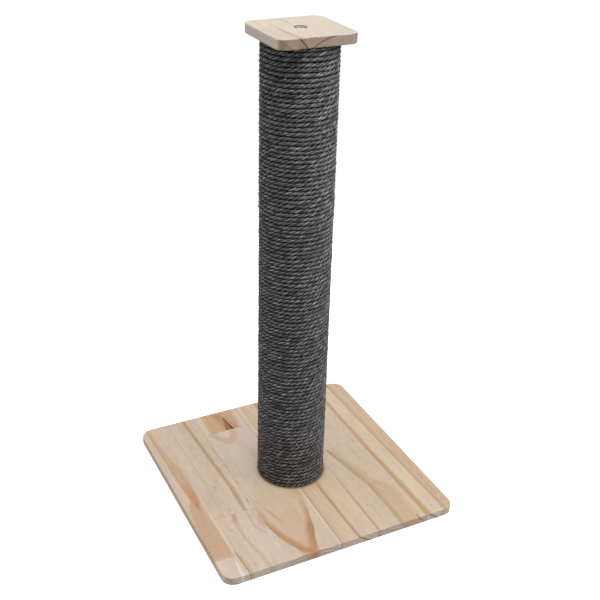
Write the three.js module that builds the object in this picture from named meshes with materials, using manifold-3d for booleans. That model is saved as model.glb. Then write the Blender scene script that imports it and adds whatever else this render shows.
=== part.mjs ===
// Cat scratching post: a square pine base, a rope-wound cardboard post and a small pine top board.
// Units are millimetres, +Z is up, and the origin is the middle of the base's underside.

import * as THREE from 'three';
import { mergeVertices } from 'three/addons/utils/BufferGeometryUtils.js';
import Module from 'manifold-3d';

// ---------------------------------------------------------------- driving dimensions

// Base board: an edge-glued pine panel.
const BASE_SIDE = 400;
const BASE_THICKNESS = 14;
const BASE_CORNER_RADIUS = 20;

// Staves of the base, numbered from the left. Stave 4 holds the post's bolt and starts a little to
// the left of the post's axis. Staves 1 and 6 take what is left at the sides.
const STAVE_4_LEFT_OF_AXIS = 9;
const STAVE_2_WIDTH = 68;
const STAVE_3_WIDTH = 88;
const STAVE_4_WIDTH = 66;
const STAVE_5_WIDTH = 89;

// Staves 1, 2, 3 and 5 are made of two blocks each. Their joints are measured from the edge named.
const STAVE_1_FRONT_LENGTH = 44;
const STAVE_2_FRONT_LENGTH = 130;
const STAVE_3_REAR_LENGTH = 59;
const STAVE_5_REAR_LENGTH = 184;

// Finger joint between the two blocks of a stave, cut through the thickness.
const FINGER_COUNT = 3;
const FINGER_LENGTH = 7;
const FINGER_TIP = 0.5;
const GLUE_LINE = 0.3;

// Top board.
const TOP_SIDE = 120;
const TOP_THICKNESS = 14;
const TOP_CORNER_RADIUS = 15;

// Rounding along the edges of both boards.
const EDGE_ROUND = 1.6;

// Cardboard tube.
const TUBE_LENGTH = 722;
const TUBE_OUTER_DIAMETER = 97;
const TUBE_WALL = 5;

// Rope, wound turn against turn.
const ROPE_DIAMETER = 6.4;
const TURN_SLACK = 0.16;
const ROPE_GROOVE_DEPTH = 2.4;

// Wood plugs in the ends of the tube.
const PLUG_THICKNESS = 30;
const PLUG_CHAMFER = 2;

// M8 bolts, with low round heads and hexagon sockets.
const BOLT_DIAMETER = 8;
const BOLT_LENGTH = 28;
const BOLT_HEAD_DIAMETER = 13;
const BOLT_HEAD_THICKNESS = 5;
const BOLT_HEAD_ROUND = 0.7;
const BOLT_TIP_CHAMFER = 1;
const SOCKET_ACROSS_FLATS = 5;
const SOCKET_DEPTH = 3.2;

// Washer under the head of the base bolt.
const WASHER_DIAMETER = 24;
const WASHER_THICKNESS = 2;

// Threaded inserts in the plugs, with ridges that grip the wood.
const INSERT_DIAMETER = 12;
const INSERT_LENGTH = 18;
const INSERT_RIDGES = 4;
const INSERT_RIDGE_DEPTH = 0.9;

// Holes and recesses round the bolts.
const BOLT_HOLE_CLEARANCE = 0.5;
const HEAD_SIDE_CLEARANCE = 3;
const HEAD_SUNK_BELOW_FACE = 0.6;
const WASHER_SIDE_CLEARANCE = 1;

// Staples that hold the plugs: a crown along the post and two legs towards its axis.
const STAPLES_PER_PLUG = 4;
const STAPLE_CROWN = 12;
const STAPLE_LEG = 12;
const STAPLE_WIRE = 1.2;
const STAPLE_SUNK = 0.4;

// Running gap between pieces that fit into or round each other.
const FIT_GAP = 0.3;

// Facets.
const CORNER_STEPS = 8;
const EDGE_ROUND_STEPS = 3;
const POST_SIDES = 32;
const BOLT_SIDES = 24;
const HEAD_SIDES = 32;
const ROPE_STEPS_PER_TURN = 18;
const HEXAGON_SIDES = 6;

// Extra length of a cutter, so that it passes right through a face.
const OVERCUT = 1;

// Colours, roughness and metalness of the materials.
const MATERIALS = {
  pine: { roughness: 0.62, metalness: 0 },
  plugWood: { color: 0xcfae7c, roughness: 0.75, metalness: 0 },
  cardboard: { color: 0xa88a63, roughness: 0.9, metalness: 0 },
  rope: { color: 0x3b3b40, roughness: 0.95, metalness: 0 },
  zinc: { color: 0xa9adb3, roughness: 0.35, metalness: 0.9 },
};
const STAVE_COLOURS = [0xd2b08c, 0xcfb79e, 0xd0b496, 0xcfb8a0, 0xceb795, 0xd2b894];
const TOP_COLOUR = 0xded2c0;

// ---------------------------------------------------------------- sizes worked out from them

const tubeRadius = TUBE_OUTER_DIAMETER / 2;
const tubeBore = tubeRadius - TUBE_WALL;
const plugRadius = tubeBore - FIT_GAP;
const ropeBore = tubeRadius + FIT_GAP;
const ropeRadius = ropeBore + ROPE_DIAMETER;
const ropePitch = ROPE_DIAMETER + TURN_SLACK;

const postBottom = BASE_THICKNESS;
const postTop = postBottom + TUBE_LENGTH;
const boardTop = postTop + TOP_THICKNESS;

const baseHalf = BASE_SIDE / 2;
const stave4Left = -STAVE_4_LEFT_OF_AXIS;
const stave3Left = stave4Left - STAVE_3_WIDTH;
const stave2Left = stave3Left - STAVE_2_WIDTH;
const stave5Left = stave4Left + STAVE_4_WIDTH;
const stave6Left = stave5Left + STAVE_5_WIDTH;

// Each stave's sides, and the place of the joint between its two blocks if it has two.
const STAVES = [
  { left: -baseHalf, right: stave2Left, joint: STAVE_1_FRONT_LENGTH - baseHalf },
  { left: stave2Left, right: stave3Left, joint: STAVE_2_FRONT_LENGTH - baseHalf },
  { left: stave3Left, right: stave4Left, joint: baseHalf - STAVE_3_REAR_LENGTH },
  { left: stave4Left, right: stave5Left },
  { left: stave5Left, right: stave6Left, joint: baseHalf - STAVE_5_REAR_LENGTH },
  { left: stave6Left, right: baseHalf },
];

const boltRadius = BOLT_DIAMETER / 2;
const boltHole = boltRadius + BOLT_HOLE_CLEARANCE;
const insertRadius = INSERT_DIAMETER / 2;
const insertPocket = insertRadius + FIT_GAP;
const headRadius = BOLT_HEAD_DIAMETER / 2;
const topRecessRadius = headRadius + HEAD_SIDE_CLEARANCE;
const topRecessDepth = BOLT_HEAD_THICKNESS + HEAD_SUNK_BELOW_FACE;
const washerRadius = WASHER_DIAMETER / 2;
const baseRecessRadius = washerRadius + WASHER_SIDE_CLEARANCE;
const baseRecessDepth = topRecessDepth + WASHER_THICKNESS;

// ---------------------------------------------------------------- solids

const wasm = await Module();
wasm.setup();

// Drops the triangles that lost an edge when their vertices were merged.
function wholeTriangles(index) {
  const kept = [];
  for (let i = 0; i < index.length; i += 3) {
    const [a, b, c] = [index[i], index[i + 1], index[i + 2]];
    if (a !== b && b !== c && c !== a) kept.push(a, b, c);
  }
  return Uint32Array.from(kept);
}

// Volume inside a closed mesh, negative if its faces point inwards.
function signedVolume(position, index) {
  const [a, b, c] = [new THREE.Vector3(), new THREE.Vector3(), new THREE.Vector3()];
  let sum = 0;
  for (let i = 0; i < index.length; i += 3) {
    a.fromBufferAttribute(position, index[i]);
    b.fromBufferAttribute(position, index[i + 1]);
    c.fromBufferAttribute(position, index[i + 2]);
    sum += a.dot(b.cross(c)) / 6;
  }
  return sum;
}

// A closed three.js geometry as a solid that can be joined and cut.
function solid(geometry) {
  const bare = geometry.clone();
  bare.deleteAttribute('normal');
  bare.deleteAttribute('uv');
  const merged = mergeVertices(bare);
  const position = merged.getAttribute('position');
  const triVerts = wholeTriangles(merged.index.array);
  if (signedVolume(position, triVerts) < 0) triVerts.reverse();
  const vertProperties = new Float32Array(position.array);
  return new wasm.Manifold(new wasm.Mesh({ numProp: 3, vertProperties, triVerts }));
}

// A solid as a three.js geometry.
function geometryOf(body) {
  const { vertProperties, triVerts } = body.getMesh();
  const geometry = new THREE.BufferGeometry();
  geometry.setAttribute('position', new THREE.BufferAttribute(vertProperties, 3));
  geometry.setIndex(new THREE.BufferAttribute(triVerts, 1));
  geometry.computeVertexNormals();
  return geometry;
}

function cutAll(body, cutters) {
  return cutters.reduce((left, cutter) => left.subtract(cutter), body);
}

// A profile of [radius, height] points turned round the Z axis.
function turned(profile, sides) {
  const points = profile.map(([radius, height]) => new THREE.Vector2(radius, height));
  return solid(new THREE.LatheGeometry(points, sides).rotateX(Math.PI / 2));
}

// An upright round bar from height bottom to height top.
function bar(radius, bottom, top, sides) {
  return turned([[0, bottom], [radius, bottom], [radius, top], [0, top]], sides);
}

// A square outline with round corners, centred on the origin.
function squareOutline(side, cornerRadius) {
  const reach = side / 2 - cornerRadius;
  const outline = new THREE.Shape();
  outline.absarc(reach, reach, cornerRadius, 0, Math.PI / 2);
  outline.absarc(-reach, reach, cornerRadius, Math.PI / 2, Math.PI);
  outline.absarc(-reach, -reach, cornerRadius, Math.PI, Math.PI * 1.5);
  outline.absarc(reach, -reach, cornerRadius, Math.PI * 1.5, Math.PI * 2);
  return outline;
}

// A square board with rounded edges, from height bottom upwards.
function board(side, thickness, cornerRadius, bottom) {
  const geometry = new THREE.ExtrudeGeometry(squareOutline(side, cornerRadius), {
    depth: thickness - 2 * EDGE_ROUND,
    curveSegments: CORNER_STEPS,
    bevelThickness: EDGE_ROUND,
    bevelSize: EDGE_ROUND,
    bevelOffset: -EDGE_ROUND,
    bevelSegments: EDGE_ROUND_STEPS,
  });
  return solid(geometry.translate(0, 0, bottom + EDGE_ROUND));
}

// ---------------------------------------------------------------- base board

// The finger joint's zigzag as [y, z] points, from under the board to above it. It starts and ends
// at y, so that both faces of the board show a straight line, and its tips reach forwards.
function fingerLine(y) {
  const rise = BASE_THICKNESS / (2 * FINGER_COUNT);
  const line = [[y, -OVERCUT]];
  for (let i = 0; i <= 2 * FINGER_COUNT; i += 1) {
    const reach = i % 2 === 0 ? y : y - FINGER_LENGTH;
    if (i > 0) line.push([reach, i * rise - FINGER_TIP / 2]);
    if (i < 2 * FINGER_COUNT) line.push([reach, i * rise + FINGER_TIP / 2]);
  }
  line.push([y, BASE_THICKNESS + OVERCUT]);
  return line;
}

// What lies between two lines of [y, z] points, over the width of one stave.
function staveSection(front, rear, { left, right }) {
  const points = [...front, ...[...rear].reverse()];
  const section = new THREE.Shape(points.map(([y, z]) => new THREE.Vector2(y, z)));
  const geometry = new THREE.ExtrudeGeometry(section, { depth: right - left, bevelEnabled: false });
  geometry.rotateX(Math.PI / 2).rotateZ(Math.PI / 2);
  return solid(geometry.translate(left, 0, 0));
}

// A straight line of [y, z] points, from under the board to above it.
function straightLine(y) {
  return [[y, -OVERCUT], [y, BASE_THICKNESS + OVERCUT]];
}

// The front and rear lines of each block of a stave, by the block's name.
function blockLines(stave, joint) {
  const front = straightLine(-baseHalf - OVERCUT);
  const rear = straightLine(baseHalf + OVERCUT);
  if (joint === undefined) return [[stave, front, rear]];
  return [
    [`${stave}_front`, front, fingerLine(joint)],
    [`${stave}_rear`, fingerLine(joint + GLUE_LINE), rear],
  ];
}

function baseBlocks() {
  const panel = cutAll(board(BASE_SIDE, BASE_THICKNESS, BASE_CORNER_RADIUS, 0), [
    bar(boltHole, -OVERCUT, BASE_THICKNESS + OVERCUT, BOLT_SIDES),
    bar(baseRecessRadius, -OVERCUT, baseRecessDepth, HEAD_SIDES),
  ]);
  return STAVES.flatMap((stave, i) => {
    const finish = { ...MATERIALS.pine, color: STAVE_COLOURS[i] };
    return blockLines(`base_stave_${i + 1}`, stave.joint).map(([name, front, rear]) => (
      { name, body: panel.intersect(staveSection(front, rear, stave)), finish }
    ));
  });
}

// ---------------------------------------------------------------- top board and bolts

function topBoard() {
  const body = cutAll(board(TOP_SIDE, TOP_THICKNESS, TOP_CORNER_RADIUS, postTop), [
    bar(boltHole, postTop - OVERCUT, boardTop + OVERCUT, BOLT_SIDES),
    bar(topRecessRadius, boardTop - topRecessDepth, boardTop + OVERCUT, HEAD_SIDES),
  ]);
  return { name: 'top_board', body, finish: { ...MATERIALS.pine, color: TOP_COLOUR } };
}

// A bolt that points down, with the underside of its head at height zero.
function boltGeometry() {
  const head = turned([
    [0, 0],
    [headRadius, 0],
    [headRadius, BOLT_HEAD_THICKNESS - BOLT_HEAD_ROUND],
    [headRadius - BOLT_HEAD_ROUND, BOLT_HEAD_THICKNESS],
    [0, BOLT_HEAD_THICKNESS],
  ], HEAD_SIDES);
  const shank = turned([
    [0, -BOLT_LENGTH],
    [boltRadius - BOLT_TIP_CHAMFER, -BOLT_LENGTH],
    [boltRadius, -BOLT_LENGTH + BOLT_TIP_CHAMFER],
    [boltRadius, BOLT_HEAD_THICKNESS / 2],
    [0, BOLT_HEAD_THICKNESS / 2],
  ], BOLT_SIDES);
  const socketRadius = SOCKET_ACROSS_FLATS / 2 / Math.cos(Math.PI / HEXAGON_SIDES);
  const socketFloor = BOLT_HEAD_THICKNESS - SOCKET_DEPTH;
  const socket = bar(socketRadius, socketFloor, BOLT_HEAD_THICKNESS + OVERCUT, HEXAGON_SIDES);
  return geometryOf(head.add(shank).subtract(socket));
}

function bolts() {
  const top = { name: 'top_bolt', geometry: boltGeometry(), finish: MATERIALS.zinc };
  top.place = (mesh) => mesh.position.set(0, 0, boardTop - topRecessDepth);
  const base = { name: 'base_bolt', geometry: boltGeometry(), finish: MATERIALS.zinc };
  base.place = (mesh) => {
    mesh.rotation.x = Math.PI;
    mesh.position.z = topRecessDepth;
  };
  return [top, base];
}

function washer() {
  const body = turned([
    [boltHole, topRecessDepth],
    [washerRadius, topRecessDepth],
    [washerRadius, baseRecessDepth],
    [boltHole, baseRecessDepth],
    [boltHole, topRecessDepth],
  ], HEAD_SIDES);
  return { name: 'base_bolt_washer', body, finish: MATERIALS.zinc };
}

// ---------------------------------------------------------------- post

// The two ends of the post: the height of the plug's outer face, and the way into the post.
const ENDS = [
  { end: 'lower', face: postBottom, inwards: 1 },
  { end: 'upper', face: postTop, inwards: -1 },
];

// A staple's outline in the [radius, height] plane, with its crown at the outside.
function stapleOutline() {
  const outer = tubeRadius - STAPLE_SUNK;
  const half = STAPLE_CROWN / 2;
  const points = [
    [outer, -half],
    [outer, half],
    [outer - STAPLE_LEG, half],
    [outer - STAPLE_LEG, half - STAPLE_WIRE],
    [outer - STAPLE_WIRE, half - STAPLE_WIRE],
    [outer - STAPLE_WIRE, STAPLE_WIRE - half],
    [outer - STAPLE_LEG, STAPLE_WIRE - half],
    [outer - STAPLE_LEG, -half],
  ];
  return new THREE.Shape(points.map(([x, y]) => new THREE.Vector2(x, y)));
}

// Turns a geometry from the [radius, height] plane to its place round the post.
function placedRound(geometry, angle, height) {
  return geometry.rotateX(Math.PI / 2).rotateZ(angle).translate(0, 0, height);
}

function stapleBody(angle, height) {
  const geometry = new THREE.ExtrudeGeometry(stapleOutline(), { depth: STAPLE_WIRE, bevelEnabled: false });
  return solid(placedRound(geometry.translate(0, 0, -STAPLE_WIRE / 2), angle, height));
}

// The slots that a staple's crown and legs leave in the tube and the plug.
function stapleSlots(angle, height) {
  const width = STAPLE_WIRE + 2 * FIT_GAP;
  const outer = tubeRadius - STAPLE_SUNK;
  const legMiddle = STAPLE_CROWN / 2 - STAPLE_WIRE / 2;
  const legLength = STAPLE_LEG + FIT_GAP;
  const crownDepth = STAPLE_WIRE + FIT_GAP + STAPLE_SUNK + OVERCUT;
  const crown = new THREE.BoxGeometry(crownDepth, STAPLE_CROWN + 2 * FIT_GAP, width);
  crown.translate(outer - STAPLE_WIRE - FIT_GAP + crownDepth / 2, 0, 0);
  const legs = [-1, 1].map((side) => {
    const leg = new THREE.BoxGeometry(legLength, width, width);
    return leg.translate(outer - legLength / 2, side * legMiddle, 0);
  });
  return [crown, ...legs].map((slot) => solid(placedRound(slot, angle, height)));
}

// The angle and height of each staple, by its node's name.
const STAPLES = ENDS.flatMap(({ end, face, inwards }) => {
  const height = face + inwards * PLUG_THICKNESS / 2;
  return Array.from({ length: STAPLES_PER_PLUG }, (unused, i) => ({
    name: `${end}_plug_staple_${i + 1}`,
    angle: (i + 0.5) * 2 * Math.PI / STAPLES_PER_PLUG,
    height,
  }));
});
const slots = STAPLES.flatMap(({ angle, height }) => stapleSlots(angle, height));

function staples() {
  return STAPLES.map(({ name, angle, height }) => (
    { name, body: stapleBody(angle, height), finish: MATERIALS.zinc }
  ));
}

function postTube() {
  const wall = turned([
    [tubeBore, postBottom],
    [tubeRadius, postBottom],
    [tubeRadius, postTop],
    [tubeBore, postTop],
    [tubeBore, postBottom],
  ], POST_SIDES);
  return { name: 'post_tube', body: cutAll(wall, slots), finish: MATERIALS.cardboard };
}

// A plug, with its insert's pocket in the outer face and a hole for the bolt right through.
function endPlug({ end, face, inwards }) {
  const inner = face + inwards * PLUG_THICKNESS;
  const disc = turned([
    [0, face],
    [plugRadius, face],
    [plugRadius, inner - inwards * PLUG_CHAMFER],
    [plugRadius - PLUG_CHAMFER, inner],
    [0, inner],
  ], POST_SIDES);
  const pocketFloor = face + inwards * INSERT_LENGTH;
  const body = cutAll(disc, [
    bar(insertPocket, face - inwards * OVERCUT, pocketFloor, BOLT_SIDES),
    bar(boltHole, face - inwards * OVERCUT, inner + inwards * OVERCUT, BOLT_SIDES),
    ...slots,
  ]);
  return { name: `${end}_end_plug`, body, finish: MATERIALS.plugWood };
}

// An insert: a sleeve round the bolt, with pointed ridges round its outside.
function insert({ end, face, inwards }) {
  const bore = boltRadius + FIT_GAP;
  const rise = INSERT_LENGTH / INSERT_RIDGES;
  const profile = [[bore, face]];
  for (let i = 0; i < INSERT_RIDGES; i += 1) {
    profile.push([insertRadius - INSERT_RIDGE_DEPTH, face + inwards * i * rise]);
    profile.push([insertRadius, face + inwards * (i + 0.5) * rise]);
  }
  const inner = face + inwards * INSERT_LENGTH;
  profile.push([insertRadius - INSERT_RIDGE_DEPTH, inner], [bore, inner], [bore, face]);
  return { name: `${end}_threaded_insert`, body: turned(profile, BOLT_SIDES), finish: MATERIALS.zinc };
}

// ---------------------------------------------------------------- rope winding

// A solid bar whose surface is one unbroken helical ridge, a turn taller than the post at each
// end. Crest points and groove points run up it in step, half a pitch apart.
function ridgedBar() {
  const turns = Math.ceil(TUBE_LENGTH / ropePitch) + 3;
  const steps = ROPE_STEPS_PER_TURN;
  const count = turns * steps;
  const start = postBottom - 1.5 * ropePitch;
  const points = [];
  const helix = (radius, lift) => {
    for (let i = 0; i <= count; i += 1) {
      const angle = (i % steps) * 2 * Math.PI / steps;
      const height = start + lift + i * ropePitch / steps;
      points.push(radius * Math.cos(angle), radius * Math.sin(angle), height);
    }
  };
  helix(ropeRadius, 0);
  helix(ropeRadius - ROPE_GROOVE_DEPTH, ropePitch / 2);
  const crest = (i) => i;
  const groove = (i) => count + 1 + i;
  const bottom = points.length / 3;
  points.push(0, 0, start);
  const top = points.length / 3;
  points.push(0, 0, start + turns * ropePitch);

  const triangles = [];
  const quad = (a, b, c, d) => triangles.push(a, b, c, a, c, d);
  for (let i = 0; i < count; i += 1) {
    quad(crest(i), crest(i + 1), groove(i + 1), groove(i));
    if (i + steps < count) quad(groove(i), groove(i + 1), crest(i + 1 + steps), crest(i + steps));
  }
  for (let i = 0; i < steps; i += 1) {
    triangles.push(bottom, crest(i + 1), crest(i));
    triangles.push(top, groove(count - steps + i), groove(count - steps + i + 1));
  }
  triangles.push(bottom, crest(0), groove(0), bottom, groove(0), crest(steps));
  triangles.push(top, groove(count), crest(count), top, crest(count), groove(count - steps));

  const geometry = new THREE.BufferGeometry();
  geometry.setAttribute('position', new THREE.Float32BufferAttribute(points, 3));
  geometry.setIndex(triangles);
  return solid(geometry);
}

// The winding: the ridged bar, cut flat at the base and the top board and bored for the tube.
function ropeWinding() {
  const sleeve = turned([
    [ropeBore, postBottom],
    [ropeRadius + OVERCUT, postBottom],
    [ropeRadius + OVERCUT, postTop],
    [ropeBore, postTop],
    [ropeBore, postBottom],
  ], POST_SIDES);
  return { name: 'rope_winding', body: ridgedBar().intersect(sleeve), finish: MATERIALS.rope };
}

// ---------------------------------------------------------------- assembly

function meshOf({ name, body, geometry, finish, place }) {
  const material = new THREE.MeshStandardMaterial({ ...finish, flatShading: true });
  const mesh = new THREE.Mesh(geometry ?? geometryOf(body), material);
  mesh.name = name;
  if (place) place(mesh);
  return mesh;
}

const post = new THREE.Group();
post.add(...[
  ...baseBlocks(),
  washer(),
  ...bolts(),
  postTube(),
  ...ENDS.map(endPlug),
  ...ENDS.map(insert),
  ...staples(),
  ropeWinding(),
  topBoard(),
].map(meshOf));

const turnCount = (TUBE_LENGTH / ropePitch).toFixed(1);
console.log(`rope: ${turnCount} turns, ${ropePitch.toFixed(2)} mm from crest to crest`);

export default post;
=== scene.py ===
"""Cat scratching post: looks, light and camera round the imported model.

Everything is in metres, +Z is up, and the origin is the middle of the base's underside.
"""

import math

import bmesh
import bpy
import numpy as np
from mathutils import Matrix, Vector


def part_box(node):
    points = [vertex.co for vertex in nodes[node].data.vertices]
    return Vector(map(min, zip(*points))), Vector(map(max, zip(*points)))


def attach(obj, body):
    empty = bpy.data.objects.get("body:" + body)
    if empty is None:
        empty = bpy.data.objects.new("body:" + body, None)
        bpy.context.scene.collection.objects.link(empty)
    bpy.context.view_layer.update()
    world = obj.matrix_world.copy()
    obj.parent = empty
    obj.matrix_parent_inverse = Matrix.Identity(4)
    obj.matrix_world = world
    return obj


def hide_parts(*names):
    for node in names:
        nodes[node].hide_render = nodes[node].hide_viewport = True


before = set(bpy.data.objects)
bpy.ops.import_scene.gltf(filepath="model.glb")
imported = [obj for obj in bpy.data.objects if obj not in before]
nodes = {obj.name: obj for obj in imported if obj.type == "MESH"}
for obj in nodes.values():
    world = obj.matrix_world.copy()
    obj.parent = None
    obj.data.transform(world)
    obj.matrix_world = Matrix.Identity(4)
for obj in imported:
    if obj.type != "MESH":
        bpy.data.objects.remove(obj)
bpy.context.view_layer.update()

# -------------------- driving values

MM = 0.001
TAU = math.tau

# Camera: where it looks, from which side, how far, and how much it leans.
CAMERA_TARGET = Vector((38.05, 54.57, 300.71)) * MM
CAMERA_AZIMUTH = -27.041
CAMERA_ELEVATION = 28.418
CAMERA_DISTANCE = 1552.04 * MM
CAMERA_LEAN = 1.551
CAMERA_LENS = 57.67

# Light. Each lamp has an azimuth, an elevation, an apparent width and a strength. It is a sun, or a round
# softbox if it has a distance from LAMP_AIM. The post and the boards are lit apart. The post casts only a
# faint shadow on the boards, as where reflectors fill it, and the floor glows towards the camera only.
LAMPS = {
    "post_overhead": dict(azimuth=-150, elevation=80, width=60, strength=2.6, onto="post"),
    "post_key": dict(azimuth=-44, elevation=40, width=30, strength=49, onto="post", distance=2.4),
    "post_left": dict(azimuth=165, elevation=25, width=60, strength=1.35, onto="post", distance=0.8),
    "boards_overhead": dict(azimuth=-150, elevation=84, width=90, strength=2.95, onto="boards"),
    "boards_key": dict(azimuth=-44, elevation=14, width=60, strength=2.7, onto="boards"),
    "boards_left": dict(azimuth=165, elevation=12, width=50, strength=0.33, onto="boards"),
    "post_shadow": dict(azimuth=-150, elevation=80, width=60, strength=0.3, onto="boards", post_blocks=True),
    "top_left": dict(azimuth=165, elevation=4, width=30, strength=0.4, onto="top"),
}
LAMP_AIM = Vector((0, 0, 0.35))
WORLD_FILL = 0.12
WORLD_SEEN = 1.02
FLOOR_GLOW = 1.02
FLOOR_RADIUS = 1.15
FLOOR_SIDES = 96
FLOOR_BELOW = 0.2 * MM
FLOOR_COLOUR = (0.58, 0.6, 0.62)

# Display level of a white surface that lies flat under this light. Colours below are given as they
# look there, and are divided by it.
FLAT_LEVEL = 1.28

# Rope: a left-hand laid rope of three strands, wound as a right-hand helix.
ROPE_RADIUS = 3.3 * MM
ROPE_LAY = 25.2 * MM
ROPE_TURNS = 108.8
ROPE_CLEAR_OF_TUBE = 0.5 * MM
TUBE_RADIUS = 48.5 * MM
STRANDS = 3
POINTS_ROUND_STRAND = 6
RINGS_PER_TURN = 176
ROPE_START_ANGLE = math.radians(99.4)
STRAND_GROOVE = 0.46
STRAND_ROUNDNESS = 0.7
FLAT_PART_OF_TURN = 0.8
TURNS_TO_SETTLE = 9

# Unevenness of the winding. The rows keep still over the first and last turns. A spacing is how far
# apart the random values lie: in radians round the post, or in metres along the rope.
STILL_TURNS = 3
WAVE_HEIGHT = 0.42 * MM
ROW_SLIP = 0.38 * MM
ROW_SLIP_SPACING = 1.6
WAVE_DEPTH = 0.6 * MM
WAVE_DEPTH_SPACING = 0.9
THICKNESS_CHANGE = 0.1
THICKNESS_SPACING = 9 * MM
LAY_DRIFT = 0.8
LAY_DRIFT_SPACING = 45 * MM

# Flat map of the rope's surface.
MAP_TURNS_PER_ROW = 3
MAP_ROW_MARGIN = 0.04
MAP_CAP_RADIUS = 0.42

# Loose fibres that stand off the rope.
FIBRE_COUNT = 4200
FIBRE_RADIUS = (0.05 * MM, 0.1 * MM)
FIBRE_LENGTH = (3 * MM, 15 * MM)
FIBRE_STEPS = 5
FIBRE_ROOT_DEPTH = 0.15 * MM
FIBRE_CLEAR_OF_BOARDS = 0.2 * MM

# Wood. Places on a block are in millimetres, along the stave (y) and across it (x).
HALF_SIDE = 200
BOLT_RECESS = 9.5
# Painted shadow round the foot of the post: where its middle lies off the post's axis, and its inner radius.
FOOT_SHADOW_PLACE = (0.7, -0.9)
FOOT_SHADOW_RADIUS = 55.2
RESIN = (160, 124, 92)
BROWN = (178, 145, 113)
DARK_TAN = (188, 156, 124)
TAN = (198, 168, 138)
PINK_TAN = (199, 171, 149)
LIMB = (182, 138, 98)
GREY = (152, 139, 126)
SMUDGE = (176, 160, 146)
DARK_RING = (112, 84, 66)
# Colour of the painted shadow at the foot of the post.
FOOT_SHADOW_COLOUR = (44, 28, 20)
# Colour of the painted shade inside the bolt's recess.
RECESS_SHADE = (176, 166, 158)

rng = np.random.default_rng(7)

# -------------------- meshes


def mesh_object(name, vertices, faces, smooth=True):
    """A new object of these vertices and faces, at the origin."""
    mesh = bpy.data.meshes.new(name)
    vertices = np.asarray(vertices, dtype=np.float32)
    faces = np.asarray(faces, dtype=np.int32)
    side_count = faces.shape[1]
    mesh.vertices.add(len(vertices))
    mesh.vertices.foreach_set("co", vertices.ravel())
    mesh.loops.add(faces.size)
    mesh.loops.foreach_set("vertex_index", faces.ravel())
    mesh.polygons.add(len(faces))
    mesh.polygons.foreach_set("loop_start", np.arange(0, faces.size, side_count, dtype=np.int32))
    mesh.polygons.foreach_set("use_smooth", np.full(len(faces), smooth))
    mesh.update(calc_edges=True)
    mesh.validate()
    piece = bpy.data.objects.new(name, mesh)
    bpy.context.scene.collection.objects.link(piece)
    return piece


def add_attribute(mesh, name, kind, key, values):
    """Stores one value, or one vector, for each of the mesh's points."""
    attribute = mesh.attributes.new(name, kind, "POINT")
    attribute.data.foreach_set(key, values.astype(np.float32).ravel())


def smoothstep(part):
    return part * part * (3 - 2 * part)


def smooth_noise(positions, spacing, seed):
    """Smooth noise along a line, from -1 to 1, with one random value every spacing."""
    values = np.random.default_rng(seed).uniform(-1, 1, int(positions.max() / spacing) + 3)
    place = positions / spacing
    index = np.floor(place).astype(int)
    blend = smoothstep(place - index)
    return values[index] * (1 - blend) + values[index + 1] * blend


# -------------------- rope


def rise_in_turns(turns):
    """Height in pitches at a number of turns from an end: the first turn lies flat and then steps up,
    and the turns after it settle into an even helix."""
    whole = np.floor(turns)
    part = turns - whole
    step = smoothstep(np.clip((part - FLAT_PART_OF_TURN) / (1 - FLAT_PART_OF_TURN), 0, 1)) * part
    settled = np.clip(whole / TURNS_TO_SETTLE, 0, 1)
    return whole + step * (1 - settled) + part * settled


def rope_line(turns, low, high):
    """Angle, radius and height of the rope's centre line."""
    pitch = (high - low - 2 * ROPE_RADIUS) / ROPE_TURNS
    from_bottom = rise_in_turns(turns)
    from_top = ROPE_TURNS - rise_in_turns(ROPE_TURNS - turns)
    rise = np.where(turns < ROPE_TURNS / 2, from_bottom, from_top)
    angle = ROPE_START_ANGLE + TAU * turns
    # The waves change slowly from turn to turn, so neighbours stay side by side.
    wave = np.sin(2 * angle + 0.11 * turns) * 0.4 + np.sin(5 * angle + 0.9 * np.sin(0.23 * turns)) * 0.6
    slip = ROW_SLIP * smooth_noise(turns * TAU, ROW_SLIP_SPACING, 23)
    moving = np.clip(np.minimum(turns, ROPE_TURNS - turns) / STILL_TURNS, 0, 1)
    height = low + ROPE_RADIUS + rise * pitch
    height = height + moving * (WAVE_HEIGHT * wave * np.sin(0.37 * turns) + slip)
    loose = smooth_noise(turns * TAU, WAVE_DEPTH_SPACING, 11)
    radius = TUBE_RADIUS + ROPE_CLEAR_OF_TUBE + ROPE_RADIUS + WAVE_DEPTH * np.maximum(loose, 0)
    return angle, radius, height


def rope_points(turns, around, low, high, stand_off=0.0):
    """Points on the rope's surface. around is the angle in the strands' own frame, which twists."""
    angle, radius, height = rope_line(turns, low, high)
    length = turns * TAU * (TUBE_RADIUS + ROPE_RADIUS)
    twist = around + TAU * length / ROPE_LAY + LAY_DRIFT * smooth_noise(length, LAY_DRIFT_SPACING, 31)
    groove = np.abs(np.cos(around * STRANDS / 2)) ** STRAND_ROUNDNESS
    section = ROPE_RADIUS * (1 - STRAND_GROOVE * (1 - groove))
    section = section * (1 - THICKNESS_CHANGE * np.abs(smooth_noise(length, THICKNESS_SPACING, 5)))
    section = section + stand_off
    out = radius + section * np.cos(twist)
    up = height + section * np.sin(twist)
    return np.stack([out * np.cos(angle), out * np.sin(angle), up], axis=-1), length, twist


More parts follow.
